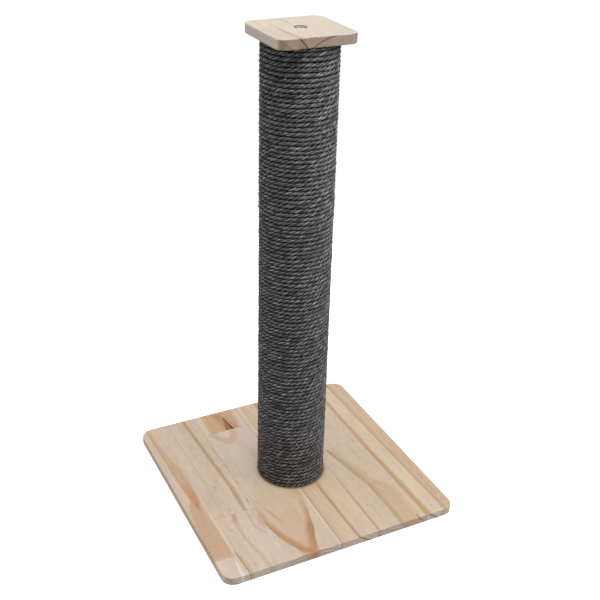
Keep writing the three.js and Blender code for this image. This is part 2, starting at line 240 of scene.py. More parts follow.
def build_rope(low, high):
    sides = STRANDS * POINTS_ROUND_STRAND
    ring_count = int(ROPE_TURNS * RINGS_PER_TURN) + 1
    turns = np.repeat(np.linspace(0, ROPE_TURNS, ring_count), sides)
    around = np.tile(np.arange(sides) * TAU / sides, ring_count)
    points, length, twist = rope_points(turns, around, low, high)
    grid = np.arange(ring_count * sides).reshape(ring_count, sides)
    first, second = grid[:-1], grid[1:]
    quads = [first, np.roll(first, -1, axis=1), np.roll(second, -1, axis=1), second]
    rope = mesh_object("rope", points, np.stack(quads, axis=-1).reshape(-1, 4)[:, ::-1])
    mesh = rope.data
    for name, angle in (("strand", around), ("yarn", twist)):
        place = [length, ROPE_RADIUS * np.cos(angle), ROPE_RADIUS * np.sin(angle)]
        add_attribute(mesh, name, "FLOAT_VECTOR", "vector", np.stack(place, axis=-1))
    add_attribute(mesh, "crest", "FLOAT", "value", np.abs(np.cos(around * STRANDS / 2)))
    rows = lay_out_rope(mesh, ring_count - 1, sides)
    close_ends(mesh, rows, sides)
    return rope


def lay_out_rope(mesh, ring_count, sides):
    """A flat map of the rope: rows of a few turns each, one above the other. A last row is left for the
    two end caps. Gives the number of rows."""
    rings_per_row = MAP_TURNS_PER_ROW * RINGS_PER_TURN
    rows = math.ceil(ring_count / rings_per_row) + 1
    ring = np.repeat(np.arange(ring_count), sides)
    side = np.tile(np.arange(sides), ring_count)
    left = (ring % rings_per_row) / rings_per_row
    right = left + 1 / rings_per_row
    side_height = (1 - 2 * MAP_ROW_MARGIN) / sides
    low = (ring // rings_per_row + MAP_ROW_MARGIN + side * side_height) / rows
    high = low + side_height / rows
    places = np.stack([right, low, right, high, left, high, left, low], axis=-1)
    layer = mesh.uv_layers.new(name="OFBake")
    layer.data.foreach_set("uv", places.astype(np.float32).ravel())
    return rows


def close_ends(mesh, rows, sides):
    """Closes the two cut ends with a wheel of faces each, and lays these out in the map's last row."""
    work = bmesh.new()
    work.from_mesh(mesh)
    edges = [edge for edge in work.edges if edge.is_boundary]
    bmesh.ops.holes_fill(work, edges=edges, sides=0)
    caps = [face for face in work.faces if len(face.verts) > 4]
    centres = bmesh.ops.poke(work, faces=caps)["verts"]
    layer = work.loops.layers.uv["OFBake"]
    for number, centre in enumerate(centres):
        middle = Vector((number + 0.5, rows - 0.5)) / rows
        for face in centre.link_faces:
            for loop in face.loops:
                turn = TAU * (loop.vert.index % sides) / sides
                spoke = Vector((math.cos(turn), math.sin(turn))) * MAP_CAP_RADIUS / rows
                loop[layer].uv = middle if loop.vert == centre else middle + spoke
    bmesh.ops.recalc_face_normals(work, faces=work.faces)
    work.to_mesh(mesh)
    work.free()


def build_fibres(low, high):
    """Thin closed prisms that leave the rope at a shallow angle and curl."""
    count = FIBRE_COUNT
    start = rng.uniform(0.3, ROPE_TURNS - 0.3, count)
    outward = rng.normal(0, 0.75, count)
    length = start * TAU * (TUBE_RADIUS + ROPE_RADIUS)
    around = outward - TAU * length / ROPE_LAY
    root, _, _ = rope_points(start, around, low, high, stand_off=-FIBRE_ROOT_DEPTH)
    angle = ROPE_START_ANGLE + TAU * start
    radial = np.stack([np.cos(angle), np.sin(angle), np.zeros(count)], axis=-1)
    tangent = np.stack([-np.sin(angle), np.cos(angle), np.zeros(count)], axis=-1)
    upward = np.tile([0.0, 0.0, 1.0], (count, 1))
    way = np.where(rng.uniform(size=count) < 0.5, -1.0, 1.0)[:, None]
    lift = rng.uniform(0.05, 0.75, count)[:, None] ** 1.6
    side = rng.normal(0, 0.35, count)[:, None]
    direction = tangent * way + radial * lift + upward * side
    direction /= np.linalg.norm(direction, axis=1, keepdims=True)
    bend = radial * rng.normal(-0.25, 0.35, count)[:, None] + upward * rng.normal(0, 0.45, count)[:, None]
    reach = rng.uniform(*FIBRE_LENGTH, count)[:, None] * rng.uniform(0.3, 1, count)[:, None]
    thick = rng.uniform(*FIBRE_RADIUS, count)[:, None]
    across = np.cross(direction, upward + radial * 0.3)
    across /= np.linalg.norm(across, axis=1, keepdims=True)
    above = np.cross(across, direction)
    vertices = []
    for step in range(FIBRE_STEPS + 1):
        part = step / FIBRE_STEPS
        middle = root + direction * reach * part + bend * reach * part * part * 0.6
        narrow = thick * (1 - 0.7 * part)
        for corner in range(3):
            turn = TAU * corner / 3
            vertices.append(middle + narrow * (across * math.cos(turn) + above * math.sin(turn)))
    per_fibre = len(vertices)
    points = np.stack(vertices, axis=1).reshape(-1, 3)
    points[:, 2] = np.clip(points[:, 2], low + FIBRE_CLEAR_OF_BOARDS, high - FIBRE_CLEAR_OF_BOARDS)
    faces = []
    for step in range(FIBRE_STEPS):
        for corner in range(3):
            a, b = 3 * step + corner, 3 * step + (corner + 1) % 3
            faces += [(a, b, b + 3), (a, b + 3, a + 3)]
    last = 3 * FIBRE_STEPS
    faces += [(0, 2, 1), (last, last + 1, last + 2)]
    faces = np.array(faces)[None] + per_fibre * np.arange(count)[:, None, None]
    fibres = mesh_object("rope_fibres", points, faces.reshape(-1, 3))
    tint = np.repeat(rng.uniform(0, 1, count), per_fibre)
    add_attribute(fibres.data, "tint", "FLOAT", "value", tint)
    return fibres


# -------------------- shader helpers


def linear(value):
    """One sRGB value from 0 to 255 as a linear value."""
    value /= 255
    return value / 12.92 if value <= 0.04045 else ((value + 0.055) / 1.055) ** 2.4


def looks(red, green, blue):
    """Base colour of a surface that looks like this lying flat under the studio light."""
    return tuple(min(linear(value) / FLAT_LEVEL, 1) for value in (red, green, blue)) + (1.0,)


def dress(name, material):
    """Gives a CAD node one material in all its slots."""
    for slot in nodes[name].material_slots:
        slot.material = material


class Shader:
    """A material's node graph, built with short calls. Values are sockets or numbers."""

    def __init__(self, name):
        self.material = bpy.data.materials.new(name)
        self.material.use_nodes = True
        self.tree = self.material.node_tree
        self.surface = self.tree.nodes["Principled BSDF"]

    def add(self, kind, **settings):
        node = self.tree.nodes.new(kind)
        for key, value in settings.items():
            setattr(node, key, value)
        return node

    def put(self, socket, value):
        if isinstance(value, bpy.types.NodeSocket):
            self.tree.links.new(value, socket)
        else:
            socket.default_value = value

    def math(self, operation, *values, clamp=False):
        node = self.add("ShaderNodeMath", operation=operation, use_clamp=clamp)
        for socket, value in zip(node.inputs, values):
            self.put(socket, value)
        return node.outputs[0]

    def plus(self, first, second):
        return self.math("ADD", first, second)

    def minus(self, first, second):
        return self.math("SUBTRACT", first, second)

    def times(self, first, second, clamp=False):
        return self.math("MULTIPLY", first, second, clamp=clamp)

    def squares(self, first, second):
        """The sum of two squares."""
        return self.plus(self.times(first, first), self.times(second, second))

    def ramp(self, value, start, end, low=0.0, high=1.0, smooth=True):
        """value mapped from start..end to low..high, clamped."""
        kind = "SMOOTHSTEP" if smooth else "LINEAR"
        node = self.add("ShaderNodeMapRange", interpolation_type=kind, clamp=True)
        for socket, item in zip(node.inputs, (value, start, end, low, high)):
            self.put(socket, item)
        return node.outputs[0]

    def mix(self, amount, first, second, blend="MIX"):
        node = self.add("ShaderNodeMix", data_type="RGBA", blend_type=blend)
        self.put(node.inputs[0], amount)
        self.put(node.inputs[6], first)
        self.put(node.inputs[7], second)
        return node.outputs[2]

    def tinted(self, colour, tint):
        return self.mix(1.0, colour, tint, blend="MULTIPLY")

    def scaled(self, colour, amount):
        """colour made darker or lighter by a factor."""
        node = self.add("ShaderNodeVectorMath", operation="SCALE")
        self.put(node.inputs[0], colour)
        self.put(node.inputs["Scale"], amount)
        return node.outputs[0]

    def attribute(self, name, output):
        return self.add("ShaderNodeAttribute", attribute_name=name).outputs[output]

    def split(self, vector):
        node = self.add("ShaderNodeSeparateXYZ")
        self.put(node.inputs[0], vector)
        return node.outputs

    def coordinates(self):
        place = self.add("ShaderNodeTexCoord").outputs["Object"]
        return place, self.split(place)

    def noise(self, vector, scale, shift=(0, 0, 0), detail=2.0, roughness=0.5):
        mapping = self.add("ShaderNodeMapping")
        self.put(mapping.inputs["Vector"], vector)
        mapping.inputs["Scale"].default_value = scale
        mapping.inputs["Location"].default_value = shift
        node = self.add("ShaderNodeTexNoise")
        self.put(node.inputs["Vector"], mapping.outputs[0])
        node.inputs["Scale"].default_value = 1
        node.inputs["Detail"].default_value = detail
        node.inputs["Roughness"].default_value = roughness
        return node.outputs[0]

    def curve(self, value, points):
        """value through a curve of (in, out) points, both from 0 to 1."""
        node = self.add("ShaderNodeFloatCurve")
        line = node.mapping.curves[0]
        while len(line.points) < len(points):
            line.points.new(0.5, 0.5)
        for point, place in zip(line.points, points):
            point.location = place
            point.handle_type = "AUTO_CLAMPED"
        node.mapping.update()
        self.put(node.inputs["Value"], value)
        return node.outputs[0]

    def bump(self, height, strength, distance):
        node = self.add("ShaderNodeBump")
        node.inputs["Strength"].default_value = strength
        node.inputs["Distance"].default_value = distance
        self.put(node.inputs["Height"], height)
        return node.outputs[0]

    def finish(self, colour, roughness, normal=None, **fixed):
        self.put(self.surface.inputs["Base Color"], colour)
        self.put(self.surface.inputs["Roughness"], roughness)
        if normal:
            self.put(self.surface.inputs["Normal"], normal)
        for key, value in fixed.items():
            self.surface.inputs[key.replace("_", " ")].default_value = value
        return self.material


# -------------------- marks on wood

# A mark is a function that gives its amount at a point of the block, and its colour.


def along_block(y):
    """A place along the stave, from 0 at the front to 1 at the rear."""
    return (y + HALF_SIDE) / (2 * HALF_SIDE)


def band(points, soft, colour, strength, lean=0, fade=None, broken=0, depth=None):
    """A band of darker grain on a block's top face. points are (y, left edge, right edge), soft is how
    wide each edge fades, lean is how far it moves across for each millimetre down, fade is the y where
    it starts, is whole, is whole still and ends, broken is how much of it comes and goes, and depth is
    how far down it goes."""
    low = min(min(row[1:]) for row in points) - 2
    high = max(max(row[1:]) for row in points) + 2

    def edge(wood, column):
        places = [(along_block(row[0]), (row[column] - low) / (high - low)) for row in sorted(points)]
        return wood.ramp(wood.curve(wood.along, places), 0, 1, low * MM, high * MM, smooth=False)

    def amount(wood):
        place = wood.plus(wood.minus(wood.x, wood.times(wood.below_top, lean)), wood.wander)
        from_left, from_right = wood.minus(place, edge(wood, 1)), wood.minus(edge(wood, 2), place)
        left, right = (width * MM / 2 for width in soft)
        mask = wood.times(wood.ramp(from_left, -left, left), wood.ramp(from_right, -right, right))
        if fade:
            start, whole, whole_still, end = map(along_block, fade)
            for nothing, everything in ((start, whole), (end, whole_still)):
                if nothing != everything:
                    mask = wood.times(mask, wood.ramp(wood.along, nothing, everything))
        if broken:
            mask = wood.times(mask, wood.ramp(wood.breaks, 0.42, 0.6, 1 - broken, 1))
        if depth:
            mask = wood.times(mask, wood.ramp(wood.below_top, depth * MM, 0))
        return wood.times(mask, strength, clamp=True)

    return amount, colour


def line(points, width, *look, **kinds):
    """A narrow band of even width along (y, x) points."""
    return band([(y, x - width / 2, x + width / 2) for y, x in points], *look, **kinds)


def growth_ring(radius, inside, outside, colour, strength):
    """A growth ring that shows on the end grain. inside and outside are how wide its sides fade."""

    def amount(wood):
        off = wood.minus(wood.radius, radius * MM)
        mask = wood.times(wood.ramp(off, -inside * MM, 0), wood.ramp(off, outside * MM, 0))
        return wood.times(wood.times(mask, strength), wood.end_grain)

    return amount, colour


def spot(x, y, width, length, colour, strength):
    """A soft oval patch."""

    def amount(wood):
        off_x = wood.times(wood.minus(wood.x, x * MM), 2 / (width * MM))
        off_y = wood.times(wood.minus(wood.y, y * MM), 2 / (length * MM))
        return wood.ramp(wood.squares(off_x, off_y), 1.0, 0.1, 0, strength)

    return amount, colour


# -------------------- wood


class WoodShader(Shader):
    """A block's node graph, with what its marks need to know of a point. pith is (x, z)."""

    def __init__(self, node_name, pith, spacing, seed, wander):
        super().__init__("pine_" + node_name)
        self.place, (self.x, self.y, z) = self.coordinates()
        self.shift = (seed * 1.37, seed * 2.11, seed * 0.73)
        self.along = self.plus(self.times(self.y, 1 / (2 * HALF_SIDE * MM)), 0.5)
        self.below_top = self.minus(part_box(node_name)[1].z, z)

        # Slow wander across the grain, and its short breaks along it.
        slow = self.times(self.minus(self.grain((16, 7, 16)), 0.5), wander * MM)
        self.wander = self.times(slow, 0.4)
        self.breaks = self.grain((160, 60, 160))

        # Growth rings round the pith, each of its own strength.
        from_x = self.plus(self.minus(self.x, pith[0] * MM), slow)
        from_z = self.minus(z, pith[1] * MM)
        self.radius = self.math("SQRT", self.squares(from_x, from_z))
        uneven = self.times(self.grain((60, 3, 60), detail=1), 0.9)
        ring_place = self.plus(self.times(self.radius, 1 / (spacing * MM)), uneven)
        ring_part = self.math("FRACT", ring_place)
        lottery = self.add("ShaderNodeTexWhiteNoise", noise_dimensions="1D")
        self.put(lottery.inputs["W"], self.math("FLOOR", ring_place))
        late = self.times(self.ramp(ring_part, 0.35, 0.93), self.ramp(ring_part, 1.0, 0.94))
        self.late = self.times(late, self.ramp(lottery.outputs["Value"], 0, 1, 0.25, 1))

        # Where the surface cuts across the fibres.
        _, normal_y, _ = self.split(self.add("ShaderNodeNewGeometry").outputs["True Normal"])
        self.end_grain = self.ramp(self.math("ABSOLUTE", normal_y), 0.35, 0.75)

    def grain(self, scale, **settings):
        """Noise in the block's own place of the pattern."""
        return self.noise(self.place, scale, self.shift, **settings)

    def from_axis(self, x=0, y=0):
        """How far a point is from an upright axis."""
        return self.math("SQRT", self.squares(self.minus(self.x, x * MM), self.minus(self.y, y * MM)))


def pine(
    node_name, *marks, pale, warm, pith, spacing, seed, ring_strength, ring_colour=(182, 150, 116),
    end_tone=(1.16, 1.18, 1.22), wander=2.4, foot_shadow=False, recess_shade=False,
):
    """Gives a block planed pine, of its own colours and pith and with its own marks."""
    wood = WoodShader(node_name, pith, spacing, seed, wander)

    # Ground colour with broad drifts, and a mottle from yellowish to pinkish.
    drift = wood.grain((22, 7, 22), detail=3, roughness=0.55)
    colour = wood.mix(wood.ramp(drift, 0.3, 0.7), looks(*pale), looks(*warm))
    mottle = wood.ramp(wood.grain((75, 24, 75)), 0.32, 0.68)
    colour = wood.tinted(colour, wood.mix(mottle, (1.02, 1.01, 0.94, 1), (0.985, 0.965, 1.0, 1)))
    blotch = wood.grain((150, 70, 150), roughness=0.6)
    colour = wood.scaled(colour, wood.ramp(blotch, 0.3, 0.7, 0.955, 1.045, smooth=False))
    ring_amount = wood.times(wood.late, wood.ramp(wood.end_grain, 0, 1, ring_strength, 0.45))
    colour = wood.mix(ring_amount, colour, looks(*ring_colour))
    for amount, tone in marks:
        colour = wood.mix(amount(wood), colour, looks(*tone))

    # Fibres: fine lines along the grain, and short dark resin flecks.
    fine = wood.grain((1500, 26, 1500), detail=3, roughness=0.6)
    fibre = wood.plus(wood.times(fine, 0.5), wood.times(wood.grain((520, 12, 520)), 0.5))
    colour = wood.scaled(colour, wood.ramp(fibre, 0.3, 0.7, 0.9, 1.06, smooth=False))
    fleck = wood.grain((900, 70, 900), detail=0)
    colour = wood.mix(wood.ramp(fleck, 0.735, 0.8, 0, 0.3), colour, looks(140, 108, 84))

    # End grain is darker and greyer, with a fine pore pattern.
    pores = wood.ramp(wood.grain((1900, 300, 1900)), 0.35, 0.68)
    dark_end = wood.mix(pores, (0.56, 0.55, 0.56, 1), (0.76, 0.77, 0.79, 1))
    end_colour = wood.tinted(wood.tinted(colour, dark_end), (*end_tone, 1))
    colour = wood.mix(wood.end_grain, colour, end_colour)

    # Painted shadow round the foot of the post, set off towards the front and right: a dark line where the
    # rope meets the base, and a faint tan rim of softer painted shade.
    if foot_shadow:
        away = wood.from_axis(*FOOT_SHADOW_PLACE)
        for width, most, tone in ((3.4, 1, FOOT_SHADOW_COLOUR), (12, 0.35, TAN)):
            painted_shadow = wood.ramp(away, (FOOT_SHADOW_RADIUS + width) * MM, FOOT_SHADOW_RADIUS * MM, 0, most)
            colour = wood.mix(painted_shadow, colour, looks(*tone))

    # Painted shade: the recess of the bolt is darker inside.
    if recess_shade:
        inside = wood.ramp(wood.from_axis(), (BOLT_RECESS + 0.6) * MM, BOLT_RECESS * MM)
        inside = wood.times(inside, wood.ramp(wood.below_top, 0.3 * MM, 1.2 * MM))
        colour = wood.mix(inside, colour, looks(*RECESS_SHADE))

    bumped = wood.bump(wood.minus(fibre, wood.times(wood.late, 0.3)), 0.25, 0.12 * MM)
    roughness = wood.ramp(fibre, 0.3, 0.7, 0.66, 0.54)
    dress(node_name, wood.finish(colour, roughness, bumped, Specular_IOR_Level=0.35))


# -------------------- the blocks

pine(
    "base_stave_1_rear",
    band([(200, -190, -186), (140, -188, -181), (100, -187, -177), (80, -186, -171), (20, -185, -169.5),
        (0, -184, -170), (-20, -188.5, -171), (-40, -194.5, -171.5), (-60, -197, -170), (-100, -200, -169),
        (-156, -203, -169)], (2.5, 8), (195, 161, 131), 0.9, lean=1.1, fade=(-159, -148, 220, 240)),
    line([(200, -189.5), (140, -187.8), (100, -186.8), (40, -185), (0, -183)], 3.0, (1.5, 3), DARK_TAN,
        0.85, lean=1.1, fade=(-25, 20, 220, 240)),
    band([(40, -184, -174), (5, -183, -171), (-35, -182, -175)], (4, 4), (188, 138, 98), 0.8, lean=1.1,
        fade=(-48, -26, 0, 45)),
    line([(-26, -177.5), (-34, -178)], 1.6, (1, 1), (160, 112, 80), 0.7, lean=1.1,
        fade=(-38, -33, -27, -20)),
    line([(-55, -191), (-90, -195), (-125, -199)], 1.5, (1, 2), (184, 148, 116), 0.55,
        fade=(-135, -120, -60, -45)),
    line([(-60, -184), (-110, -189), (-150, -194)], 1.5, (1, 2.5), (186, 152, 120), 0.45,
        fade=(-156, -145, -65, -45)),
    line([(-40, -167.3), (-150, -167.3)], 2.6, (1.5, 1.5), (216, 200, 178), 0.8,
        fade=(-156, -150, -60, -30)),
    pale=(207, 188, 168), warm=(201, 180, 158), pith=(-150, 66), spacing=6.0, seed=1, ring_strength=0.12,
)
pine(
    "base_stave_1_front",
    band([(-156, -171.5, -171), (-175, -173.5, -169.5), (-200, -175.5, -169.5)], (1.5, 1.2),
        (226, 214, 200), 0.85, fade=(-200, -200, -175, -158)),
    line([(-156, -171.5), (-200, -177)], 0.9, (0.8, 1.2), (176, 156, 138), 0.5),
    growth_ring(70.5, 0.6, 0.9, DARK_RING, 0.8),
    growth_ring(61, 0.5, 0.8, DARK_RING, 0.7),
    pale=(211, 194, 178), warm=(206, 187, 168), pith=(-150, 66), spacing=9.0, seed=2, ring_strength=0.05,
)
pine(
    "base_stave_2_rear",
    spot(-136, 3, 4, 9, GREY, 0.6),
    spot(-143, -8, 3, 6, SMUDGE, 0.6),
    spot(-134, 95, 3, 6, GREY, 0.5),
    spot(-134, 118, 4, 8, SMUDGE, 0.7),
    spot(-135, -57, 4, 10, SMUDGE, 0.8),
    spot(-106, 160, 5, 10, SMUDGE, 0.5),
    spot(-108, -20, 8, 70, (190, 164, 140), 0.55),
    band([(200, -123.5, -117), (160, -122, -116), (120, -120, -114), (80, -118.5, -112.5),
        (40, -116.8, -110.5), (0, -115, -109.5), (-40, -115.5, -109.5), (-70, -115.5, -111)], (4, 5), BROWN,
        0.85, lean=-0.8),
    line([(200, -119.5), (80, -115.8), (0, -112.2), (-70, -113.2)], 1.5, (1.2, 2), RESIN, 0.35, lean=-0.8,
        broken=0.5),
    line([(110, -101.6), (90, -100.5), (45, -97.8), (0, -98), (-20, -98.6), (-60, -100.6)], 1.5, (0.8, 1),
        (136, 124, 114), 0.9, broken=0.8, fade=(-75, -66, 100, 118)),
    line([(110, -99.2), (45, -95.8), (-60, -98.3)], 1.2, (0.8, 1), (214, 200, 184), 0.6,
        fade=(-75, -60, 95, 118)),
    line([(200, -149), (120, -149.5), (60, -148), (0, -148), (-70, -149)], 2.2, (1.5, 3), DARK_TAN, 0.6,
        broken=0.4),
    pale=(206, 188, 170), warm=(200, 180, 160), pith=(-60, 130), spacing=7.0, seed=3, ring_strength=0.08,
)
pine(
    "base_stave_2_front",
    spot(-152, -102, 3, 11, GREY, 0.55),
    spot(-151, -137, 3, 7, SMUDGE, 0.7),
    spot(-126.5, -138, 2.5, 10, SMUDGE, 0.8),
    spot(-147, -186, 4, 12, SMUDGE, 0.7),
    spot(-101, -100, 9, 50, (196, 166, 146), 0.6),
    spot(-162, -120, 5, 60, TAN, 0.3),
    band([(-70, -137, -131.5), (-80, -139.5, -132.5), (-100, -141, -136), (-120, -140, -136),
        (-140, -138, -133), (-160, -135, -129), (-200, -131, -124)], (2, 5), (196, 166, 140), 0.65,
        lean=0.5),
    line([(-70, -137.5), (-85, -139.6), (-110, -140.5), (-140, -138), (-200, -130.5)], 1.1, (1.2, 1.8),
        (180, 148, 114), 0.35, lean=0.5, broken=0.3),
    band([(-70, -138, -130), (-92, -141, -133)], (2, 4), (190, 154, 114), 0.7, fade=(-102, -80, -71, -66)),
    line([(-70, -111.5), (-88, -113.5), (-103, -114.5), (-115, -111.5), (-125, -106), (-133, -101)], 2.6,
        (1.5, 3), (192, 166, 136), 0.75, fade=(-140, -122, -72, -66)),
    band([(-72, -103, -95), (-95, -105, -96), (-120, -102, -95)], (3, 2), (198, 167, 146), 0.75,
        fade=(-136, -108, -80, -66)),
    line([(-76, -98), (-100, -107.5)], 1.6, (1.2, 1.5), (214, 203, 192), 0.6, fade=(-108, -95, -80, -70)),
    band([(-150, -164, -161), (-170, -162.5, -158), (-200, -161, -154.5)], (1.2, 4), (192, 160, 126), 0.7,
        fade=(-200, -200, -160, -140)),
    line([(-148, -164.3), (-170, -163), (-200, -160.6)], 1.9, (1, 1.4), (150, 116, 82), 0.75,
        fade=(-200, -200, -154, -140)),
    pale=(210, 194, 179), warm=(203, 184, 164), pith=(-130, 120), spacing=7.0, seed=4, ring_strength=0.06,
)
pine(
    "base_stave_3_rear",
    band([(200, -99, -87), (165, -99, -87.5), (141, -99, -88.5)], (1, 2.2), (208, 193, 173), 0.95),
    band([(200, -25, -8), (160, -29, -8), (138, -30, -8)], (9, 1), (206, 188, 168), 0.95),
    line([(200, -18.5), (141, -17.5)], 2.2, (1.5, 2), DARK_TAN, 0.6),
    line([(200, -79), (141, -78)], 4, (3, 3), (180, 148, 110), 0.4),
    line([(200, -66), (141, -70)], 3.0, (2.5, 2.5), (184, 152, 114), 0.35),
    band([(200, -70, -56), (175, -63, -50), (155, -61, -50), (141, -60, -50)], (7, 3), (184, 138, 98), 0.85,
        fade=(138, 141, 180, 225)),
    band([(178, -51, -48.5), (165, -53.5, -46.5), (150, -57, -45), (141, -58, -43)], (2.5, 2.5),
        (160, 108, 70), 0.95, fade=(138, 141, 172, 190)),
    line([(180, -49.6), (165, -49), (150, -47), (141, -45.6)], 2.6, (1, 1.6), (120, 68, 40), 0.95,
        fade=(138, 141, 172, 186)),
    band([(160, -48.5, -46.5), (150, -49, -45), (141, -47.5, -43.3)], (1.5, 1.2), (88, 54, 38), 0.85,
        fade=(138, 141, 148, 164)),
    band([(158, -54.5, -53), (150, -56, -53.5), (141, -57.5, -53.5)], (1.2, 1.8), (124, 82, 56), 0.7,
        fade=(138, 141, 152, 164)),
    band([(190, -47, -42), (160, -45, -37), (141, -43.5, -33)], (2, 7), (178, 130, 96), 0.65, broken=0.3,
        fade=(138, 141, 170, 198)),
    pale=(197, 167, 136), warm=(193, 162, 130), pith=(-47, -40), spacing=6.0, seed=5, ring_strength=0.25,
)
pine(
    "base_stave_3_front",
    spot(-60, -30, 60, 60, (200, 178, 152), 0.6),
    spot(-35, 105, 56, 110, (206, 185, 174), 0.7),
    # Painted light: a paler patch left of the post, which lifts the shade that the post casts there.
    spot(-64, 55, 44, 120, (218, 201, 184), 0.5),
    spot(-70, -55, 50, 80, (200, 176, 148), 0.5),
    spot(-14, -60, 70, 34, (196, 162, 128), 0.6),
    spot(-60, -188, 40, 60, (192, 152, 114), 0.8),
    spot(-63, -108, 13, 16, (198, 164, 136), 0.6),
    spot(-58, -168, 26, 50, (200, 168, 138), 0.6),
    spot(-77, -91, 2, 7, (160, 130, 104), 0.6),
    spot(-73, -114, 2, 5, GREY, 0.7),
    spot(-53.5, -102, 2, 5, GREY, 0.6),
    spot(-62, -119, 2, 3, GREY, 0.5),
    spot(-66, 128, 22, 26, (209, 193, 170), 0.85),
    spot(-78, -170, 6, 60, (208, 182, 154), 0.4),
    band([(-60, -88, -24), (-90, -93, -21), (-110, -94, -22.5), (-130, -91.5, -27.5), (-150, -88, -31),
        (-170, -80, -39.5), (-185, -73, -44), (-200, -60, -50)], (8, 8), (202, 175, 147), 0.75,
        fade=(-201, -200, -110, -35)),
    band([(-20, -97, -91), (-80, -97, -90), (-100, -97, -91), (-120, -96, -88.5), (-130, -94, -85.5),
        (-140, -92, -82.5), (-150, -89.6, -78.5), (-160, -85.8, -74), (-170, -81.8, -69.5),
        (-180, -77, -65), (-190, -71.5, -56), (-197, -63, -50)], (1.6, 12), LIMB, 0.95,
        fade=(-201, -200, -150, -10)),
    line([(-104, -96), (-118, -94.8), (-132, -91.2), (-146, -88.5)], 3.2, (1.2, 3), (172, 130, 96), 0.45,
        fade=(-156, -142, -114, -98)),
    band([(-50, -24, -16), (-92, -25, -18.5), (-100, -26, -19.5), (-110, -28.5, -21.5), (-120, -31, -24),
        (-130, -35, -27), (-140, -40, -28.8), (-150, -45, -30.8), (-160, -48, -35.5), (-170, -51, -39.3),
        (-180, -54, -42), (-190, -57, -45.7), (-198, -60, -50)], (12, 2), LIMB, 0.95,
        fade=(-201, -200, -140, -40)),
    band([(-135, -34, -30), (-148, -41, -32.5), (-160, -42, -35.5), (-170, -44, -40)], (4, 1.6),
        (164, 120, 78), 0.6, broken=0.5, fade=(-178, -162, -145, -128)),
    line([(-45, -91.5), (-65, -87), (-82, -83), (-96, -78.5), (-114, -73)], 2.6, (1.5, 2.5),
        (182, 150, 118), 0.7, broken=0.25, fade=(-120, -108, -66, -38)),
    line([(-84, -79.5), (-100, -75.5), (-118, -70)], 3.5, (2, 3), (192, 156, 122), 0.5,
        fade=(-128, -112, -92, -78)),
    line([(60, -16.5), (141, -17.5)], 2.2, (1.5, 2), DARK_TAN, 0.5),
    line([(-95, -38), (-120, -44), (-140, -52)], 1.4, (1.5, 1.5), (190, 160, 130), 0.35,
        fade=(-146, -130, -105, -85)),
    band([(141, -93, -82), (130, -89.5, -77), (120, -83.5, -68), (112, -78, -60), (103, -73, -60)], (2, 8),
        PINK_TAN, 0.95, fade=(99, 106, 142, 145)),
    band([(141, -53, -42), (130, -56, -43.5), (120, -62, -46.5), (112, -70, -51), (103, -73, -60)],
        (8, 2.5), PINK_TAN, 0.95, fade=(99, 106, 142, 145)),
    band([(-50, -14.5, -8), (-200, -14.5, -8)], (2.5, 1), (214, 197, 174), 0.6,
        fade=(-200, -200, -70, -30)),
    growth_ring(132, 0.7, 0.9, DARK_RING, 0.85),
    growth_ring(126, 2.5, 0.7, (150, 122, 100), 0.5),
    pale=(206, 189, 171), warm=(203, 184, 164), pith=(-58, -118), spacing=8.0, seed=6, ring_strength=0.03,
    wander=1.6, foot_shadow=True, end_tone=(1.16, 1.24, 1.34),
)
pine(
    "base_stave_4",
    spot(10, -58, 50, 26, (198, 166, 134), 0.5),
    spot(41, -70, 26, 50, (204, 176, 150), 0.4),
    band([(200, -9.5, 2), (-60, -9.5, 5), (-130, -9.5, -1), (-200, -9.5, 0)], (1, 8), (203, 174, 144), 0.7),
    line([(200, -8), (-200, -8)], 2.0, (0.8, 2), (192, 160, 130), 0.5),
    line([(-45, -8), (-200, -8)], 2.4, (0.8, 2), (176, 142, 108), 0.75, fade=(-200, -200, -60, -30)),
    band([(200, 18.5, 24), (-60, 18.8, 24), (-100, 18.8, 24), (-140, 19.5, 24), (-200, 20.5, 25.5)],
        (2.2, 5), BROWN, 0.9, lean=1.45),
    line([(200, 20.8), (-100, 20.8), (-130, 21.2), (-200, 22.3)], 1.6, (1.2, 1.6), RESIN, 0.5, lean=1.45,
        broken=0.5),
    line([(200, 55.2), (-200, 54.6)], 1.6, (1, 1), (215, 200, 178), 0.6),
    line([(-60, 56.4), (-200, 56.6)], 1.8, (1.2, 0.5), (188, 158, 126), 0.75, fade=(-200, -200, -110, -40)),
    growth_ring(80, 0.6, 0.9, DARK_RING, 0.85),
    growth_ring(66, 0.6, 0.9, (140, 112, 92), 0.6),
    pale=(209, 190, 166), warm=(204, 182, 156), pith=(75, 74), spacing=7.0, seed=7, ring_strength=0.1,
    foot_shadow=True, end_tone=(1.15, 1.2, 1.28),
)
pine(
    "base_stave_5_rear",
    line([(200, 135), (60, 132), (16, 131)], 2.0, (1, 2.5), (196, 176, 146), 0.45),
    line([(200, 122), (16, 120)], 1.5, (1.5, 2), TAN, 0.25, broken=0.4),
    band([(200, 141.5, 147), (16, 142, 147)], (2.5, 0.5), (196, 161, 123), 0.9),
    pale=(206, 189, 171), warm=(202, 183, 163), pith=(146, 290), spacing=9.0, seed=8, ring_strength=0.04,
)
